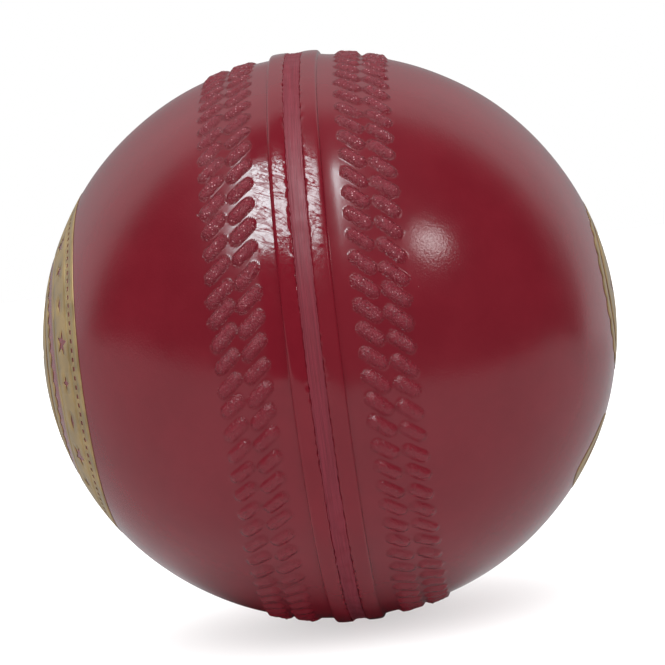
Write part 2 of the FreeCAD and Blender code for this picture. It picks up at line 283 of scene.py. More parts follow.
class Cheek:
    """One side's sphere: places on it are (distance along the surface from the seam plane,
    angle round the seam axis from the front and upwards, height above the surface)."""

    def __init__(self, side, seam):
        self.side = side
        self.offset = seam.cheek_offset
        self.radius = POLE_X - self.offset
        self.start = -math.asin(self.offset / self.radius)
        self.reach = (math.pi / 2 - self.start) * self.radius

    def around(self, along):
        """Radius of the circle round the seam axis at this distance along the surface."""
        return self.radius * np.cos(self.start + along / self.radius)

    def place(self, along, angle, height):
        """Point = centre + (radius + height) x outward direction at that latitude and angle."""
        latitude = self.start + along / self.radius
        x = self.offset + (self.radius + height) * np.sin(latitude)
        return self.spin(x, (self.radius + height) * np.cos(latitude), angle)

    def spin(self, x, radial, angle):
        """The point at x along the seam axis and radial from it, turned to this angle."""
        x, radial, angle = np.broadcast_arrays(x, radial, angle)
        return np.stack([self.side * x, -radial * np.cos(angle), radial * np.sin(angle)], -1)

    def wave(self, along, angle):
        """The slow unevenness of the moulded surface, as a height."""
        return COVER_WAVE * ripple(self.place(along, angle, 0.0), COVER_WAVELENGTH, 11)


def stitch_height(cheek, seam, along, angle, middle, stagger, seed):
    """Height of one row of stitches, as a share: with q the distance from the nearest stitch's
    straight middle line over its radius, it is (1 - q^3)^2 x (1 + tilt x distance towards the
    upper side / radius), with seeded differences in place, slant, width, length and height."""
    rng = np.random.default_rng(seed)
    count = seam.stitches
    pitch = FULL_TURN / count
    shift = rng.normal(0, PLACE_SPREAD, count)
    lean = seam.stitch_slant + rng.normal(0, SLANT_SPREAD, count)
    width = rng.normal(1.0, WIDTH_SPREAD, count)
    length = rng.normal(1.0, LENGTH_SPREAD, count)
    rise = rng.normal(1.0, RISE_SPREAD, count)
    sideways = along - middle
    radius_here = cheek.around(along)
    best = np.zeros(np.broadcast(along, angle).shape)
    nearest = np.round(angle / pitch - 0.5 - stagger)
    for step in (-1, 0, 1):
        index = np.mod(nearest + step, count).astype(int)
        center = (nearest + step + 0.5 + stagger + shift[index]) * pitch
        around = (angle - center) * radius_here
        slant = lean[index]
        forward = sideways * np.cos(slant) - around * np.sin(slant)
        across = sideways * np.sin(slant) + around * np.cos(slant)
        radius = seam.stitch_radius * width[index]
        straight = seam.stitch_length * length[index] / 2 - radius
        beyond = np.maximum(np.abs(forward) - straight, 0)
        q = np.minimum(np.hypot(beyond, across) / radius, 1.0)
        tilt = 1 + UPPER_SIDE_TILT * across / radius
        best = np.maximum(best, rise[index] * tilt * (1 - q ** 3) ** 2)
    return best


def lip_profile(seam, floor):
    """(distance, height) down the lip: a slightly crowned top, an elliptic shoulder, and a
    concave fillet onto the floor of the gap beside it."""
    top = seam.lip_height
    turn = np.radians([25, 50, 75])
    inner_s = BEAD_HALF_WIDTH + INNER_ROUND * (1 - np.cos(turn))
    inner_h = top - INNER_ROUND * (1 - np.sin(turn))
    flat_s = np.linspace(BEAD_HALF_WIDTH + INNER_ROUND, seam.lip_edge - SHOULDER, 7)
    crown = (flat_s - flat_s.mean()) / (flat_s[-1] - flat_s[0])
    flat_h = top + CROWN_MIDDLE - CROWN_DROP * crown ** 2
    down = np.radians([20, 40, 58, 74, 86])
    outer_s = seam.lip_edge - SHOULDER + SHOULDER * np.sin(down)
    outer_h = top - (top - FILLET_RISE - floor) * (1 - np.cos(down))
    foot = np.radians([20, 50, 90])
    foot_s = seam.lip_edge + FILLET * (1 - np.cos(foot))
    foot_h = floor + FILLET_RISE * (1 - np.sin(foot))
    along = np.concatenate([inner_s, flat_s, outer_s, foot_s])
    return along, np.concatenate([inner_h, flat_h, outer_h, foot_h])


def row_places(middle, half):
    """Distances across a stitch row, closer together at the stitches' round ends."""
    share = np.linspace(-1, 1, 16)
    return middle + half * (0.72 * share + 0.28 * np.sin(share * math.pi / 2))


def stitch_shear(cheek, seam, along, half):
    """How far the mesh's columns lean round the ball, as an angle: inside the stitch rows they
    run along the stitches."""
    low = seam.inner_row - half
    high = seam.outer_row + half
    leaning = np.clip(along, low, high) - low
    return -leaning * math.tan(seam.stitch_slant) / cheek.around((low + high) / 2)


def cover_rings(cheek, seam):
    """The closed half shell as rings from the inner pole, over the parting face, the groove, the
    lip and the stitches, to the cheek's pole: lists of point rings and of their stitch masks."""
    fine = seam.stitches * COLUMNS_PER_STITCH
    half = (seam.stitch_length / 2 - seam.stitch_radius) * math.cos(seam.stitch_slant)
    half += seam.stitch_radius + ROW_MARGIN
    rings = []
    masks = []

    def add(points, mask=None):
        rings.append(points)
        masks.append(np.zeros(len(points)) if mask is None else mask)

    def angles(columns, along=0.0):
        lean = stitch_shear(cheek, seam, along, half)
        return np.arange(columns) * (FULL_TURN / columns) + lean

    def surface(along, height, columns):
        angle = angles(columns, along)
        inner = stitch_height(cheek, seam, along, angle, seam.inner_row, 0.0, 5)
        outer = stitch_height(cheek, seam, along, angle, seam.outer_row, 0.5, 6)
        mask = np.maximum(inner, outer)
        points = cheek.place(along, angle, 0.0)
        if along < RAG_END:
            rag = 1 + ripple(points, 0.8 * MM, 25 + cheek.side)
            height = height - RAG_DEPTH * rag * smooth(RAG_END, RAG_START, along)
        lumps = 1 + 0.09 * ripple(points, 0.55 * MM, 21) + 0.06 * ripple(points, 2.5 * MM, 22)
        rise = height + mask * lumps * seam.stitch_height + cheek.wave(along, angle)
        add(cheek.place(along, angle, rise), mask)

    root = cheek.radius - seam.bead_root
    add(cheek.spin(CORE_RADIUS, 0.0, np.zeros(1)))
    for share in np.linspace(0.06, 1.0, 14):
        turn = (math.pi / 2) * (1 - share)
        x, radial = CORE_RADIUS * math.sin(turn), CORE_RADIUS * math.cos(turn)
        add(cheek.spin(x, radial, angles(fine // 8)))
    add(cheek.spin(0.0, root, angles(fine // 4)))
    add(cheek.spin(BEAD_HALF_WIDTH, root, angles(fine // 2)))
    add(cheek.spin(BEAD_HALF_WIDTH, LIP_RADIUS - 0.4 * MM, angles(fine // 2)))
    floor = GAP_FLOOR[cheek.side]
    for along, height in zip(*lip_profile(seam, floor)):
        surface(along, height, fine // 2)
    gap_start = seam.lip_edge + FILLET
    gap_end = seam.inner_row - half
    for share in np.linspace(0.08, 0.94, 11):
        height = floor * max(1 - share / GAP_SAG_END, 0.0) ** 2
        surface(gap_start + share * (gap_end - gap_start), height, fine // 2)
    for along in row_places(seam.inner_row, half)[:-1]:
        surface(along, 0.0, fine)
    for along in row_places(seam.outer_row, half):
        surface(along, 0.0, fine)
    band_edge = seam.outer_row + half
    surface(band_edge + 0.3 * MM, 0.0, fine // 2)
    for along in np.linspace(band_edge + 0.8 * MM, cheek.reach - 0.35 * MM, 44):
        surface(along, 0.0, fine // 4)
    add(cheek.place(cheek.reach, np.zeros(1), cheek.wave(cheek.reach, np.zeros(1))))
    return rings, masks


def build_cover_half(name, side, material):
    """One cover half as a single closed mesh, with its stitches moulded in."""
    seam = bpy.context.scene.ball_seam
    cheek = Cheek(side, seam)
    rings, masks = cover_rings(cheek, seam)
    faces = join_rings([len(ring) for ring in rings], flip=side < 0)
    node = "cover_half_right" if side > 0 else "cover_half_left"
    fields = {"stitch": np.concatenate(masks)}
    return new_piece(name, np.concatenate(rings), faces, material, [node], fields)


# ---- parting bead ----

BEAD_DEPTH = 0.75 * MM
HIGH_SIDE = math.radians(65)
BURR_SIDE = math.radians(-28)
EDGE_RAG = 0.028 * MM
EDGE_LIP = 0.035 * MM
BURR, BURR_PLACE, BURR_WIDTH = 0.05 * MM, -0.93, 0.05
HOLLOW = 0.075 * MM


def build_bead(name, material):
    """A closed ring of trimmed plastic: its face is a shallow hollow with fine ridges along it,
    face radius + rise(angle) + ridges(across) + raised edges - hollow x (1 - across^2), and its
    two edges wander by a seeded ripple."""
    seam = bpy.context.scene.ball_seam
    columns = seam.stitches * 14
    angle = np.arange(columns) * (FULL_TURN / columns)
    circle = np.stack([np.zeros(columns), -np.cos(angle), np.sin(angle)], -1) * BEAD_FACE
    high = np.cos(angle - HIGH_SIDE)
    rise = (-0.030 + 0.085 * high) * MM + 0.012 * MM * ripple(circle, 6 * MM, 31)
    spread = BEAD_HALF_WIDTH + (0.02 + 0.12 * smooth(-1, 1, high)) * MM
    rows = []
    for x in (BEAD_HALF_WIDTH, -BEAD_HALF_WIDTH):
        rows.append(np.stack([np.full(columns, x), np.full(columns, BEAD_FACE - BEAD_DEPTH)], -1))
    for across in np.linspace(-1, 1, 27):
        edge = abs(across) ** 6
        seed = 33 if across < 0 else 34
        rag = ripple(circle, 0.9 * MM, seed) + 0.6 * ripple(circle, 0.45 * MM, seed + 4)
        x = across * spread + edge * np.sign(across) * EDGE_RAG * rag
        lines = circle * 0.045 + np.array([across * 1.6 * MM, 0, 0])
        ridge = 0.010 * MM * ripple(lines, 0.22 * MM, 41) + 0.008 * MM * ripple(lines, 0.5 * MM, 42)
        lip = EDGE_LIP * abs(across) ** 8 * (1 + 0.6 * rag)
        burr = BURR * math.exp(-((across - BURR_PLACE) / BURR_WIDTH) ** 2)
        burr = burr * smooth(-0.2, 0.7, np.cos(angle - BURR_SIDE))
        radial = BEAD_FACE + rise + ridge + lip + burr - HOLLOW * (1 - across ** 2)
        rows.append(np.stack([x, radial], -1))
    profile = np.stack(rows, 0)
    points = np.stack([profile[..., 0], -profile[..., 1] * np.cos(angle),
                       profile[..., 1] * np.sin(angle)], -1)
    count = len(rows)
    row, column = np.meshgrid(np.arange(count), np.arange(columns), indexing="ij")
    next_row, next_column = (row + 1) % count, (column + 1) % columns
    quads = np.stack([row * columns + column, next_row * columns + column,
                      next_row * columns + next_column, row * columns + next_column], -1)
    return new_piece(name, points.reshape(-1, 3), quads.reshape(-1, 4).tolist(), material,
                     ["parting_bead"])


# ---- foils ----

FOIL_TOP = 0.05 * MM
FOIL_FILM = 0.03 * MM
OUTLINE_POINTS = 240
SCALLOP_POINTS = 288
UPRIGHT = math.pi / 2


class FoilSheet:
    """Collects flat patches drawn in degrees from a cheek's pole, and lays them on the cheek.

    A drawn point (a, b) lies hypot(a, b) degrees from the pole; a points to the front, b up.
    The lift moves the whole drawing up by that many degrees."""

    def __init__(self, side, lift=0.0):
        self.cheek = Cheek(side, bpy.context.scene.ball_seam)
        self.lift = np.array([0.0, lift])
        self.points = []
        self.faces = []

    def patch(self, drawn):
        """Adds grids of drawn points, shape (patches, rows, columns, 2), rows outwards."""
        drawn = np.asarray(drawn, float)
        patches, rows, columns, _ = drawn.shape
        start = sum(len(block) for block in self.points)
        self.points.append(drawn.reshape(-1, 2))
        index = np.arange(patches * rows * columns).reshape(patches, rows, columns) + start
        quads = np.stack([index[:, :-1, :-1], index[:, 1:, :-1],
                          index[:, 1:, 1:], index[:, :-1, 1:]], -1).reshape(-1, 4)
        self.faces.append(quads)

    def between(self, inner, outer, steps=2):
        """Ruled patches: (1 - t) x inner outline + t x outer outline for t from 0 to 1."""
        share = np.linspace(0, 1, steps + 1)[None, :, None, None]
        inner, outer = np.asarray(inner, float), np.asarray(outer, float)
        if inner.ndim == 2:
            inner, outer = inner[None], outer[None]
        self.patch((1 - share) * inner[:, None] + share * outer[:, None])

    def finish(self, name, material, node):
        """The film as a mesh a little above the cheek, given its thickness by Solidify."""
        drawn = np.concatenate(self.points) + self.lift
        polar = np.radians(np.hypot(drawn[:, 0], drawn[:, 1]))
        angle = np.arctan2(drawn[:, 1], drawn[:, 0])
        along = self.cheek.reach - polar * self.cheek.radius
        height = self.cheek.wave(along, angle) + FOIL_TOP
        points = self.cheek.place(along, angle, height)
        faces = np.concatenate(self.faces)
        a, b, c = (points[faces[:, k]] for k in (0, 1, 2))
        facing = np.einsum("ij,ij->i", np.cross(b - a, c - a), a + b + c)
        faces = np.where((facing < 0)[:, None], faces[:, ::-1], faces)
        piece = new_piece(name, points, faces.tolist(), material, [node])
        merge = piece.modifiers.new("merge", "WELD")
        merge.merge_threshold = 0.004 * MM
        film = piece.modifiers.new("film", "SOLIDIFY")
        film.thickness = FOIL_FILM
        film.offset = -1
        return piece


def outline(radius, count=OUTLINE_POINTS):
    """A closed outline about the pole: radius(angle), or one radius, at even angles."""
    angle = np.linspace(0, FULL_TURN, count + 1)
    reach = radius(angle) if callable(radius) else np.full(count + 1, float(radius))
    return np.stack([reach * np.cos(angle), reach * np.sin(angle)], -1)


def star(angle, points, tip, valley):
    """Radius of a straight-edged star at each angle: the line from a tip to the next valley."""
    half = math.pi / points
    turned = np.abs(np.mod(angle + half, 2 * half) - half)
    return tip * valley * math.sin(half) / (
        valley * np.sin(half - turned) + tip * np.sin(turned))


def star_outline(points, tip, valley, turn=0.0):
    """The closed outline of a star with a tip at this turn."""
    return outline(lambda angle: star(angle - turn, points, tip, valley))


def scalloped(radius, depth, waves):
    """A closed wavy circle: radius + depth x |cos(waves x angle / 2)| - depth / 2."""
    return outline(lambda angle: radius + depth * (np.abs(np.cos(waves * angle / 2)) - 0.5),
                   SCALLOP_POINTS)


def band_tiles(sheet, low, high, count, hole, start=0.0):
    """A ring band from low to high degrees of count tiles, each with a hole: hole(number,
    angle) gives its radius in a square that reaches from -1 to 1 both ways."""
    angle = np.linspace(0, FULL_TURN, 41)
    unit = outline(1.0, 40)
    square = 1 / np.abs(unit).max(1)
    middle = start + (np.arange(count) + 0.5) * FULL_TURN / count
    inner = np.stack([hole(number, angle)[:, None] * unit for number in range(count)])
    share = np.linspace(0, 1, 3)[None, :, None, None]
    local = (1 - share) * inner[:, None] + share * (square[:, None] * unit)[None, None]
    turn = middle[:, None, None] + local[..., 0] * (math.pi / count)
    polar = (low + high) / 2 + local[..., 1] * (high - low) / 2
    sheet.patch(np.stack([polar * np.cos(turn), polar * np.sin(turn)], -1))


def star_or_lozenge(number, angle):
    """In turn a five-pointed star, a lozenge and a small four-pointed star."""
    if number % 3 == 0:
        return star(angle - UPRIGHT, 5, 0.66, 0.27)
    return star(angle, 2, 0.42, 0.17) if number % 3 == 1 else star(angle, 4, 0.40, 0.16)


def dash(number, angle):
    """A short slot: a rounded rectangle."""
    return 1 / ((np.abs(np.cos(angle)) / 0.50) ** 4 + (np.abs(np.sin(angle)) / 0.62) ** 4) ** 0.25


def build_foil_ring(name, material):
    """Left cheek's outer ring: plain rims, a row of slots, and a band of stars and lozenges."""
    sheet = FoilSheet(-1)
    outer, inner = 38.2, 26.5
    slots_high, slots_low = 36.3, 35.2
    marks_high, marks_low = slots_low - 0.5, 28.0
    sheet.between(outline(slots_high), outline(outer))
    band_tiles(sheet, slots_low, slots_high, 118, dash)
    sheet.between(outline(marks_high), outline(slots_low), 1)
    band_tiles(sheet, marks_low, marks_high, 24, star_or_lozenge, math.radians(4))
    sheet.between(outline(inner), outline(marks_low), 1)
    return sheet.finish(name, material, "foil_ring")


def build_foil_medallion(name, material):
    """Left cheek's middle: a scalloped disc with a fine ring left open, and in it a star-shaped
    opening that holds a smaller star."""
    sheet = FoilSheet(-1)
    open_high, open_low = 20.2, 19.4
    sheet.between(outline(open_high, SCALLOP_POINTS), scalloped(23.4, 1.0, 48))
    sheet.between(star_outline(5, 14.5, 6.0, UPRIGHT), outline(open_low), 6)
    sheet.between(star_outline(5, 0.4, 0.2, UPRIGHT), star_outline(5, 9.6, 3.95, UPRIGHT), 6)
    return sheet.finish(name, material, "foil_medallion")


def build_foil_roundel(name, material):
    """Right cheek's middle: a scalloped disc with a fine ring left open, and in it a six-pointed
    opening that holds a smaller star."""
    sheet = FoilSheet(1, 4.0)
    open_high, open_low = 15.0, 14.1
    sheet.between(outline(open_high, SCALLOP_POINTS), scalloped(17.4, 0.8, 24))
    sheet.between(star_outline(6, 10.8, 5.3), outline(open_low), 5)
    sheet.between(outline(0.3), star_outline(6, 7.2, 3.5), 6)
    return sheet.finish(name, material, "foil_roundel")


def leaf_or_star(number, angle):
    """The middle tile has a star, and the others an upright leaf with pointed ends."""
    if number == 2:
        return star(angle - UPRIGHT, 5, 0.86, 0.36)
    across, up = np.abs(np.cos(angle)) / 0.42, np.abs(np.sin(angle)) / 0.88
    return 1 / (across ** 1.3 + up ** 1.3) ** 0.77


def build_foil_plaque(name, material):
    """Right cheek's lower plaque: a bar bent round the pole, with rounded corners and a row of
    cut-out leaves and a star between plain borders."""
    sheet = FoilSheet(1)
    middle, half_height, half_sweep = 31.3, 8.2, math.radians(28)

    def bend(across, down):
        """Drawn place of a point of the bar, each coordinate from -1 to 1."""
        polar = middle + half_height * down
        turn = across * half_sweep - UPRIGHT
        return np.stack([polar * np.cos(turn), polar * np.sin(turn)], -1)

    angle = np.linspace(0, FULL_TURN, 49)
    unit = outline(1.0, 48)
    square = unit / np.abs(unit).max(1)[:, None]
    rounded = unit / (np.abs(unit) ** 5).sum(1)[:, None] ** 0.2
    wide, high, count = 0.84, 0.62, 5
    sheet.between(bend(square[:, 0] * wide, square[:, 1] * high),
                  bend(rounded[:, 0], rounded[:, 1]), 3)
    for number in range(count):
        place = wide * (2 * number + 1 - count) / count
        hole = leaf_or_star(number, angle)[:, None] * unit
        sheet.between(bend(place + hole[:, 0] * wide / count, -hole[:, 1] * high),
                      bend(place + square[:, 0] * wide / count, -square[:, 1] * high), 3)
    return sheet.finish(name, material, "foil_plaque")


# ---- materials ----

class Nodes:
    """Short ways to add nodes to a tree. Inputs take numbers or other nodes' outputs."""

    def __init__(self, tree):
        self.tree = tree

    def add(self, kind, inputs=None, **settings):
        """A new node with these inputs and settings."""
        node = self.tree.nodes.new(kind)
        for key, value in settings.items():
            setattr(node, key, value)
        for key, value in (inputs or {}).items():
            self.put(node, key, value)
        return node

    def put(self, node, key, value):
        """Sets one input of a node, or links an output to it."""
        if isinstance(value, bpy.types.NodeSocket):
            self.tree.links.new(value, node.inputs[key])
        else:
            node.inputs[key].default_value = value


class Graph(Nodes):
    """A new material's nodes, with places on the object in millimetres."""

    def __init__(self, name):
        self.material = bpy.data.materials.new(name)
        self.material.use_nodes = True
        super().__init__(self.material.node_tree)
        self.shader = self.tree.nodes["Principled BSDF"]
        place = self.add("ShaderNodeTexCoord").outputs["Object"]
        self.place_mm = self.add("ShaderNodeVectorMath", {0: place, 3: 1 / MM},
                                 operation="SCALE").outputs[0]
        self.xyz = self.add("ShaderNodeSeparateXYZ", {0: self.place_mm}).outputs

    def math(self, operation, first, second=0.0, third=0.0):
        """The result of one Math node."""
        inputs = {0: first, 1: second, 2: third}
        return self.add("ShaderNodeMath", inputs, operation=operation).outputs[0]

    def times(self, product, *others):
        """The product of all these values."""
        for other in others:
            product = self.math("MULTIPLY", product, other)
        return product

    def total(self, start, *terms):
        """start + value x amount for each (value, amount) term."""
        for value, amount in terms:
            start = self.math("MULTIPLY_ADD", value, amount, start)
        return start

    def ramp(self, value, low, high, to_low=0.0, to_high=1.0, kind="SMOOTHSTEP"):
        """to_low below low, to_high above high, and a smooth or linear change between."""
        return self.add("ShaderNodeMapRange", {0: value, 1: low, 2: high, 3: to_low, 4: to_high},
                        interpolation_type=kind).outputs[0]

    def noise(self, scale, detail=2.0, roughness=0.5, distortion=0.0, vector=None):
        """Noise from 0 to 1, over places in millimetres or over another vector."""
        inputs = {"Vector": vector or self.place_mm, "Scale": scale, "Detail": detail,
                  "Roughness": roughness, "Distortion": distortion}
        return self.add("ShaderNodeTexNoise", inputs).outputs[0]

    def cells(self, scale, **settings):
        """The outputs of a Voronoi pattern over places in millimetres."""
        inputs = {"Vector": self.place_mm, "Scale": scale}
        return self.add("ShaderNodeTexVoronoi", inputs, **settings).outputs

    def stretch(self, x, y, z):
        """The place in millimetres, times these along the three axes."""
        inputs = {0: self.place_mm, 1: (x, y, z)}
        return self.add("ShaderNodeVectorMath", inputs, operation="MULTIPLY").outputs[0]

    def mix(self, share, first, second):
        """The first colour where share is 0, and the second where it is 1."""
        node = self.add("ShaderNodeMix", {0: share}, data_type="RGBA")
        for key, colour in ((6, first), (7, second)):
            is_output = isinstance(colour, bpy.types.NodeSocket)
            self.put(node, key, colour if is_output else (*colour, 1.0))
        return node.outputs[2]

    def bump(self, height_mm):
        """Bump from a height in millimetres."""
        node = self.add("ShaderNodeBump", {"Height": height_mm, "Strength": 1.0, "Distance": MM})
        self.put(self.shader, "Normal", node.outputs[0])

    def set(self, **values):
        """Sets inputs of the shader, and returns the material."""
        for key, value in values.items():
            self.put(self.shader, key.replace("_", " "), value)
        return self.material


def shade(colour, factor):
    """A lighter or darker copy of a colour."""
    return [channel * factor for channel in colour]


def hair_lines(graph, vector, width):
    """Thin wandering lines: 1 where noise lies within width of its middle value, else 0."""
    value = graph.noise(1.0, 1.5, 0.45, 0.9, vector)
    away = graph.math("ABSOLUTE", graph.math("SUBTRACT", value, 0.5))
    return graph.ramp(away, 0.0, width, 1.0, 0.0)


def specks(graph, scale, size, share):
    """Small round specks, one in some of the cells of a Voronoi pattern."""
    cells = graph.cells(scale)
    spot = graph.ramp(cells["Distance"], size * 0.5, size, 1.0, 0.0)
    chosen = graph.add("ShaderNodeSeparateXYZ", {0: cells["Color"]}).outputs[0]
    return graph.times(spot, graph.math("LESS_THAN", chosen, share))


# Painted highlight: pale specks put into the stitches' colour to stand in for glints of light.
PAINTED_GLINT_COLOUR = (0.62, 0.36, 0.39)
DUST_COLOUR = (0.45, 0.30, 0.30)
SCRATCH_RADIUS_MM = 46.0


def cover_material(name, gap_roughness, worn):
    """Glossy moulded plastic with a little dust: smooth beside the seam, orange peel on the
    cheeks, and sand-textured stitches, whose sand is weaker on the lower half. The stitches'
    crowns are paler, partly from their own colour and partly from painted sheen that is strongest
    on the upper half, where pale specks are painted glints. Between the ball's middle and its top
    there are hair scratches on the lips, and
    beside them as strongly as worn says (0 to 1)."""
    finish = bpy.context.scene.ball_finish
    graph = Graph(name)
    x, y, z = graph.xyz

    # Where things are: shares from 0 to 1, from places in millimetres.
    from_seam = graph.math("ABSOLUTE", x)
    on_lip = graph.ramp(from_seam, 2.9, 3.2, 1.0, 0.0)
    near_seam = graph.ramp(from_seam, 4.8, 5.6, 1.0, 0.0)
    cheek = graph.ramp(from_seam, 10.5, 13.5)
    stitch = graph.add("ShaderNodeAttribute", attribute_name="stitch").outputs["Fac"]
    crown = graph.ramp(stitch, 0.05, 0.80)
    foot = graph.ramp(stitch, 0.0, 0.012)
    # Highest on the upper half: it weakens the stitches' sand, and their painted sheen, towards the
    # bottom.
    upper_sand_and_sheen = graph.ramp(z, -14.0, 6.0, 0.25, 1.0)
    texture = graph.times(foot, upper_sand_and_sheen)
    scuff = graph.times(near_seam, graph.ramp(on_lip, 0, 1, worn, 1.0, "LINEAR"),
                        graph.ramp(z, 0.0, 9.0), graph.ramp(z, 22.0, 27.0, 1.0, 0.0))

    # Patterns.
    cloud = graph.noise(0.11, 4.0, 0.6)
    grain = graph.ramp(graph.cells(5.2)["Distance"], 0.0, 0.75, 0.5, -0.5)
    sand = graph.math("SUBTRACT", graph.noise(5.0, 2.0, 0.6), 0.5)
    grit = specks(graph, 5.0, 0.46, 0.45)
    glint = specks(graph, 3.6, 0.34, 0.26)
    dust = specks(graph, 0.42, 0.022, 0.22)
    round_seam = graph.math("ARCTAN2", y, z)
    slanted = graph.total(graph.times(x, 0.75), (round_seam, SCRATCH_RADIUS_MM))
    across = graph.add("ShaderNodeCombineXYZ", {0: graph.times(x, 0.32), 1: slanted}).outputs[0]
    scratch = graph.times(hair_lines(graph, across, 0.085),
                          graph.ramp(graph.noise(0.20, 2.0), 0.30, 0.50))
    worm = graph.times(hair_lines(graph, graph.stretch(1.2, 1.0, 1.0), 0.065),
                       graph.ramp(graph.noise(0.23, 2.0), 0.42, 0.56))
    marks = graph.times(graph.math("MAXIMUM", scratch, worm), scuff)
    mottle = graph.times(graph.noise(2.2, 3.0, 0.6), scuff)
    worn_spots = graph.times(scuff, graph.ramp(mottle, 0.48, 0.62))
    peel = graph.noise(0.85, 2.0, 0.5)
    skin = graph.noise(4.6, 1.0, 0.5)

    base = graph.mix(graph.ramp(cloud, 0.3, 0.7), shade(finish.cover_colour, 0.94),
                     shade(finish.cover_colour, 1.06))
    pale = graph.mix(graph.ramp(grain, -0.30, 0.40, 0.40, 1.0), finish.cover_colour,
                     finish.stitch_colour)
    # Stitch crowns take the paler stitch colour, weaker on the lower half: partly the stitches' own
    # colour, partly painted sheen from the light above.
    colour = graph.mix(graph.times(crown, upper_sand_and_sheen, 0.9), base, pale)
    # Painted highlight: pale glint specks on the stitches' crowns, only on the upper half, where
    # the lights catch them.
    bright = graph.times(glint, crown, graph.ramp(z, -4.0, 14.0, 0.0, 0.65))
    colour = graph.mix(bright, colour, PAINTED_GLINT_COLOUR)
    colour = graph.mix(graph.times(dust, 0.55), colour, DUST_COLOUR)

    graph.bump(graph.total(
        graph.times(peel, graph.ramp(cheek, 0, 1, 0.004, 0.010, "LINEAR")),
        (skin, graph.ramp(cheek, 0, 1, 0.0, 0.014, "LINEAR")),
        (mottle, 0.012),
        (graph.times(sand, texture), 0.21),
        (graph.times(grain, texture), 0.05),
        (graph.times(grit, crown, texture), 0.15),
        (dust, 0.05)))
    rough = graph.total(graph.ramp(near_seam, 0, 1, 0.18, gap_roughness, "LINEAR"),
                        (graph.ramp(cloud, 0.3, 0.7), 0.03), (foot, 0.02), (marks, 0.10))
    gloss = graph.total(0.5, (texture, -0.27), (graph.times(grit, texture), 0.6),
                        (on_lip, -0.08), (marks, -0.36), (worn_spots, -0.14))
    return graph.set(Base_Color=colour, Roughness=rough, IOR=1.5, Specular_IOR_Level=gloss)


def bead_material(name):
    """Matte trimmed plastic with lines along the seam."""
    finish = bpy.context.scene.ball_finish
    graph = Graph(name)
    lines = graph.noise(1.0, 3.0, 0.6, vector=graph.stretch(9.0, 0.12, 0.12))
    blotch = graph.noise(0.5, 3.0)
    colour = graph.mix(graph.ramp(lines, 0.32, 0.68), shade(finish.bead_colour, 0.80),
                       shade(finish.bead_colour, 1.16))
    colour = graph.mix(graph.ramp(blotch, 0.45, 0.75, 0.0, 0.4), colour, finish.cover_colour)
    fine = graph.noise(1.0, 3.0, vector=graph.stretch(12, 0.6, 0.6))
    graph.bump(graph.total(0.0, (lines, 0.03), (fine, 0.03)))
    rough = graph.ramp(blotch, 0.3, 0.7, 0.42, 0.56)
    return graph.set(Base_Color=colour, Roughness=rough, IOR=1.5, Specular_IOR_Level=0.18)


def foil_material(name):
    """Aged gold foil: metal that is dulled and worn through in specks."""
    finish = bpy.context.scene.ball_finish
    graph = Graph(name)
    wear = graph.noise(2.6, 4.0, 0.7)
    cloud = graph.noise(0.35, 3.0)
    colour = graph.mix(graph.ramp(cloud, 0.35, 0.65), shade(finish.foil_colour, 0.72),
                       finish.foil_colour)
    colour = graph.mix(graph.ramp(wear, 0.64, 0.72, 0.0, 0.8), colour, (0.16, 0.06, 0.045))
    metal = graph.ramp(wear, 0.64, 0.72, 0.45, 0.05)
    graph.bump(graph.total(0.0, (cloud, 0.02), (wear, 0.006)))
    rough = graph.ramp(cloud, 0.3, 0.7, 0.36, 0.50)
    return graph.set(Base_Color=colour, Metallic=metal, Roughness=rough)


def cork_material(name):
    """Pressed cork: light and dark granules with pits between them."""
    graph = Graph(name)
    tint = graph.add("ShaderNodeSeparateXYZ", {0: graph.cells(0.7)["Color"]}).outputs[0]
    colour = graph.mix(tint, (0.30, 0.15, 0.06), (0.62, 0.40, 0.20))
    gap = graph.cells(0.7, feature="DISTANCE_TO_EDGE")["Distance"]
    crack = graph.ramp(gap, 0.0, 0.09)
    colour = graph.mix(crack, (0.12, 0.06, 0.03), colour)
    fine = graph.noise(2.0, 4.0)
    graph.bump(graph.total(0.0, (fine, 0.1), (crack, 0.25)))
    return graph.set(Base_Color=colour, Roughness=graph.ramp(fine, 0.3, 0.7, 0.75, 0.9))


def yarn_material(name):
    """Wound worsted yarn: strands that cross in three directions, with painted shade in the hollows
    between them.
    """
    graph = Graph(name)
    heights = []
    for tilt in ((0.9, 0.5, 0.2), (-0.3, 0.8, -0.6), (0.2, -0.4, 1.0)):
        reach = graph.add("ShaderNodeVectorMath", {0: graph.place_mm, 1: tilt},
                          operation="DOT_PRODUCT").outputs["Value"]
        wandering = graph.total(reach, (graph.noise(0.25), 2.0))
        heights.append(graph.math("SINE", graph.times(wandering, 5.2)))
    strand = graph.math("MAXIMUM", graph.math("MAXIMUM", heights[0], heights[1]), heights[2])
    fuzz = graph.noise(4.0, 4.0, 0.7)
    # Painted shade: darker between the strands, lighter on their tops.
    colour = graph.mix(graph.ramp(strand, 0.1, 1.0), (0.34, 0.27, 0.18), (0.80, 0.73, 0.60))
    graph.bump(graph.total(0.0, (fuzz, 0.08), (strand, 0.22)))
    return graph.set(Base_Color=colour, Roughness=graph.ramp(fuzz, 0.3, 0.7, 0.8, 0.95))


def rubber_material(name):
    """Solid rubber with a mould's matte bloom."""
    graph = Graph(name)
    bloom = graph.noise(0.6, 4.0, 0.6)
    colour = graph.mix(bloom, (0.025, 0.022, 0.022), (0.075, 0.068, 0.065))
    graph.bump(graph.times(graph.noise(3.0, 4.0), 0.04))
    return graph.set(Base_Color=colour, Roughness=graph.ramp(bloom, 0.3, 0.7, 0.55, 0.75))


# ---- operators ----

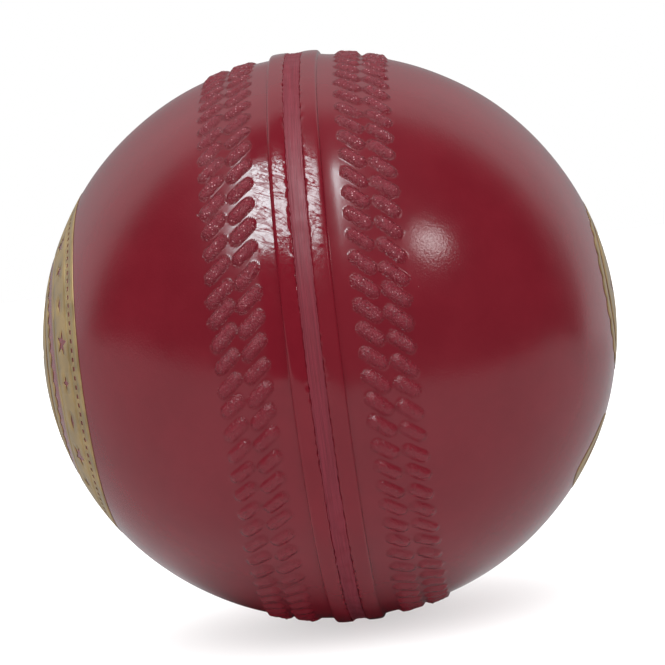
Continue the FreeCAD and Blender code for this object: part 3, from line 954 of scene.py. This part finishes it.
class BALL_OT_cover(bpy.types.Operator):
    """Make the two cover halves with their moulded stitches"""
    bl_idname = "ball.cover"
    bl_label = "Cover halves"

    def execute(self, context):
        build_cover_half("cover_right", 1, cover_material("cover_right", 0.17, 0.15))
        build_cover_half("cover_left", -1, cover_material("cover_left", 0.10, 1.0))
        return {"FINISHED"}


class BALL_OT_bead(bpy.types.Operator):
    """Make the trimmed bead in the seam"""
    bl_idname = "ball.bead"
    bl_label = "Parting bead"

    def execute(self, context):
        build_bead("seam_bead", bead_material("bead"))
        return {"FINISHED"}


class BALL_OT_foils(bpy.types.Operator):
    """Make the stamped foil emblems on both cheeks"""
    bl_idname = "ball.foils"
    bl_label = "Foil emblems"

    def execute(self, context):
        gold = foil_material("gold_foil")
        build_foil_ring("emblem_ring", gold)
        build_foil_medallion("emblem_medallion", gold)
        build_foil_roundel("emblem_roundel", gold)
        build_foil_plaque("emblem_plaque", gold)
        return {"FINISHED"}


class BALL_OT_core(bpy.types.Operator):
    """Give the cork, yarn and rubber inside the ball their materials"""
    bl_idname = "ball.core"
    bl_label = "Core"

    def execute(self, context):
        finishes = {"cork": cork_material("cork"), "yarn": yarn_material("yarn"),
                    "rubber": rubber_material("rubber")}
        for part in frame["record"]["subparts"]:
            finish = finishes.get(part["material_slot"])
            if finish:
                mesh = frame["nodes"][part["node"]].data
                mesh.materials.clear()
                mesh.materials.append(finish)
        return {"FINISHED"}


class BALL_OT_stage(bpy.types.Operator):
    """Set up the floor, surroundings, lights and camera"""
    bl_idname = "ball.stage"
    bl_label = "Stage"

    def execute(self, context):
        stage = context.scene.ball_stage
        right, up, back = camera_axes(stage)
        make_camera(stage, right, up, back)
        make_world(right, up, back)
        make_floor(stage, right, up, back)
        make_lights(stage, right, up, back)
        context.scene.view_settings.view_transform = "Standard"
        return {"FINISHED"}


def camera_axes(stage):
    """The camera's right, up and backward directions."""
    a, e, roll = stage.azimuth, stage.elevation, stage.roll
    back = Vector((math.sin(a) * math.cos(e), -math.cos(a) * math.cos(e), math.sin(e)))
    level = Vector((math.cos(a), math.sin(a), 0))
    rise = back.cross(level)
    right = level * math.cos(roll) - rise * math.sin(roll)
    up = level * math.sin(roll) + rise * math.cos(roll)
    return right, up, back


def make_camera(stage, right, up, back):
    """The camera, a hair to the right of and above the line to the ball's centre."""
    data = bpy.data.cameras.new("camera")
    data.lens = stage.lens
    data.sensor_width = 36
    data.clip_start = 0.01
    data.clip_end = 20
    camera = new_object("camera", data)
    turn = Matrix((right, up, back)).transposed().to_4x4()
    place = back * stage.distance + right * (0.33 * MM) + up * (0.44 * MM)
    camera.matrix_world = Matrix.Translation(place) @ turn
    bpy.context.scene.camera = camera


# Places on the mirrored room's ramp, from in front of the ball to behind it, and shades there.
ROOM_SHADES = ((0.14, 0.01), (0.33, 0.14), (0.49, 0.92), (0.78, 0.80), (1.0, 0.40))


def make_world(right, up, back):
    """Even white light for matte surfaces and for the camera; glossy surfaces mirror a room that
    is dark in front of the ball, bright overhead and beside it and greyer far behind it."""
    world = bpy.data.worlds.new("studio")
    bpy.context.scene.world = world
    world.cycles.sampling_method = "NONE"
    world.use_nodes = True
    world.node_tree.nodes.clear()
    nodes = Nodes(world.node_tree)
    facing = nodes.add("ShaderNodeTexCoord").outputs["Generated"]
    behind = up * 0.25 - back - right * 0.08
    tilt = nodes.add("ShaderNodeVectorMath", {0: facing, 1: behind}, operation="DOT_PRODUCT")
    ramp = nodes.add("ShaderNodeValToRGB", {0: tilt.outputs["Value"]})
    stops = ramp.color_ramp.elements
    for place, _ in ROOM_SHADES[1:-1]:
        stops.new(place)
    for stop, (place, grey) in zip(stops, ROOM_SHADES):
        stop.position = place
        stop.color = (grey * 0.97, grey * 0.98, grey, 1)
    room = nodes.add("ShaderNodeBackground", {"Color": ramp.outputs[0]}).outputs[0]
    white = nodes.add("ShaderNodeBackground", {"Color": (1, 1, 1, 1)}).outputs[0]
    rays = nodes.add("ShaderNodeLightPath").outputs
    inputs = {0: rays["Is Glossy Ray"], 1: white, 2: room}
    mirrored = nodes.add("ShaderNodeMixShader", inputs).outputs[0]
    inputs = {0: rays["Is Camera Ray"], 1: mirrored, 2: white}
    seen = nodes.add("ShaderNodeMixShader", inputs).outputs[0]
    nodes.add("ShaderNodeOutputWorld", {0: seen})


def stage_plane(name, corners, colour):
    """A flat piece of the stage."""
    mesh = bpy.data.meshes.new(name)
    mesh.from_pydata(corners, [], [tuple(range(len(corners)))])
    material = bpy.data.materials.new(name)
    material.use_nodes = True
    shader = material.node_tree.nodes["Principled BSDF"]
    shader.inputs["Base Color"].default_value = (*colour, 1)
    shader.inputs["Roughness"].default_value = 0.9
    shader.inputs["Specular IOR Level"].default_value = 0.1
    mesh.materials.append(material)
    plane = new_object(name, mesh)
    return plane


WIDE = 3.0
TABLE_FRONT = 0.13
TABLE_SKEW = 0.35
# Painted contact shadow on the mirrored table: dark within the first radius, evenly lit beyond the
# second.
PAINTED_SHADOW_RADIUS, LIT_RADIUS = 0.009, 0.027


def make_floor(stage, right, up, back):
    """A wide pale floor that the camera sees, and a table top that the glossy cover mirrors,
    which ends a little in front of the ball and has a painted shadow round the ball's foot."""
    low = CAD_BOX[0].z
    corners = [(-WIDE, -WIDE, low), (WIDE, -WIDE, low), (WIDE, WIDE, low), (-WIDE, WIDE, low)]
    floor = stage_plane("floor", corners, stage.floor_colour)
    floor.visible_glossy = False
    floor.visible_shadow = False
    contact = -up * (LIP_RADIUS + 0.1 * MM)
    level = back - up * back.dot(up)
    places = [(-WIDE, TABLE_FRONT + TABLE_SKEW), (WIDE, TABLE_FRONT - TABLE_SKEW),
              (WIDE, -WIDE), (-WIDE, -WIDE)]
    top = [tuple(contact + right * x + level * y) for x, y in places]
    table = stage_plane("table", top, stage.floor_colour)
    shade_table(table.data.materials[0], contact, stage.table_radiance)
    table.visible_camera = False
    table.visible_diffuse = False
    table.visible_shadow = False


def shade_table(material, contact, radiance):
    """An even glow with a painted contact shadow: it fades to dark round the point where the ball
    stands.
    """
    material.node_tree.nodes.clear()
    nodes = Nodes(material.node_tree)
    place = nodes.add("ShaderNodeNewGeometry").outputs["Position"]
    reach = nodes.add("ShaderNodeVectorMath", {0: place, 1: contact}, operation="DISTANCE")
    inputs = {0: reach.outputs["Value"], 1: PAINTED_SHADOW_RADIUS, 2: LIT_RADIUS, 3: 0.01, 4: radiance}
    painted_shadow_fade = nodes.add("ShaderNodeMapRange", inputs, interpolation_type="SMOOTHSTEP")
    glow = nodes.add("ShaderNodeEmission",
                     {"Color": (0.97, 0.98, 1.0, 1), "Strength": painted_shadow_fade.outputs[0]})
    nodes.add("ShaderNodeOutputMaterial", {"Surface": glow.outputs[0]})


def new_lamp(name, kind, direction, distance, energy):
    """A light at this distance in this direction from the ball, which it faces."""
    data = bpy.data.lights.new(name, kind)
    data.energy = energy
    lamp = new_object(name, data)
    lamp.location = direction.normalized() * distance
    lamp.rotation_mode = "QUATERNION"
    lamp.rotation_quaternion = direction.to_track_quat("Z", "Y")
    return lamp


def soft_box(name, direction, distance, size, radiance):
    """A lit rectangle, or a disk if only one size is given, that the cover mirrors: its power is
    pi x area x radiance."""
    disk = len(size) == 1
    area = math.pi * size[0] ** 2 / 4 if disk else size[0] * size[1]
    lamp = new_lamp(name, "AREA", direction, distance, math.pi * area * radiance)
    lamp.data.shape = "DISK" if disk else "RECTANGLE"
    lamp.data.size, lamp.data.size_y = size[0], size[-1]
    lamp.visible_camera = False
    lamp.visible_diffuse = False
    return lamp


def sky_light(name, direction, strength):
    """A very wide, soft light from one direction that only matte surfaces take up, too wide to
    cast a shadow."""
    lamp = new_lamp(name, "SUN", direction, 0.0, strength)
    lamp.data.angle = math.radians(70)
    lamp.data.use_shadow = False
    lamp.visible_glossy = False


def make_lights(stage, right, up, back):
    """Two soft boxes that the cover mirrors, above left and above right, and for the matte
    surfaces a wide soft light from above and a weak one from below, through the floor."""
    key = right * -0.268 + up * 0.783 + back * 0.584
    box = soft_box("key_light", key, 0.55, (0.295, 0.35), stage.key_radiance)
    box.data.color = (0.80, 0.97, 1.0)
    small = right * 0.515 + up * 0.515 + back * 0.590
    soft_box("round_light", small, 0.60, (0.09,), stage.round_radiance)
    sky_light("soft_light", right * -0.10 + up * 0.93 + back * 0.30, stage.soft_strength)
    sky_light("bounce_light", back * 0.85 - up * 0.53, stage.bounce_strength)


class BALL_PT_panel(bpy.types.Panel):
    """Buttons that build the ball's pieces, and their settings"""
    bl_label = "Cricket ball"
    bl_idname = "BALL_PT_panel"
    bl_space_type = "VIEW_3D"
    bl_region_type = "UI"
    bl_category = "Cricket ball"

    def draw(self, context):
        layout = self.layout
        for kind in OPERATORS:
            layout.operator(kind.bl_idname)
        for group in (context.scene.ball_seam, context.scene.ball_finish, context.scene.ball_stage):
            for name in type(group).__annotations__:
                layout.prop(group, name)


# ---- add-on --------------------------------------------------------------------------------

GROUPS = {"ball_seam": SeamSettings, "ball_finish": FinishSettings, "ball_stage": StageSettings}
OPERATORS = (BALL_OT_cover, BALL_OT_bead, BALL_OT_foils, BALL_OT_core, BALL_OT_stage)


def register():
    """Registers the settings, operators and panel."""
    for name, group in GROUPS.items():
        bpy.utils.register_class(group)
        setattr(bpy.types.Scene, name, bpy.props.PointerProperty(type=group))
    for kind in OPERATORS + (BALL_PT_panel,):
        bpy.utils.register_class(kind)


def unregister():
    """Takes them away again."""
    for kind in (BALL_PT_panel,) + OPERATORS[::-1]:
        bpy.utils.unregister_class(kind)
    for name, group in GROUPS.items():
        delattr(bpy.types.Scene, name)
        bpy.utils.unregister_class(group)


def main():
    """Registers the add-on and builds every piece."""
    register()
    bpy.ops.ball.cover()
    bpy.ops.ball.bead()
    bpy.ops.ball.foils()
    bpy.ops.ball.core()
    bpy.ops.ball.stage()


if __name__ == "__main__":
    main()
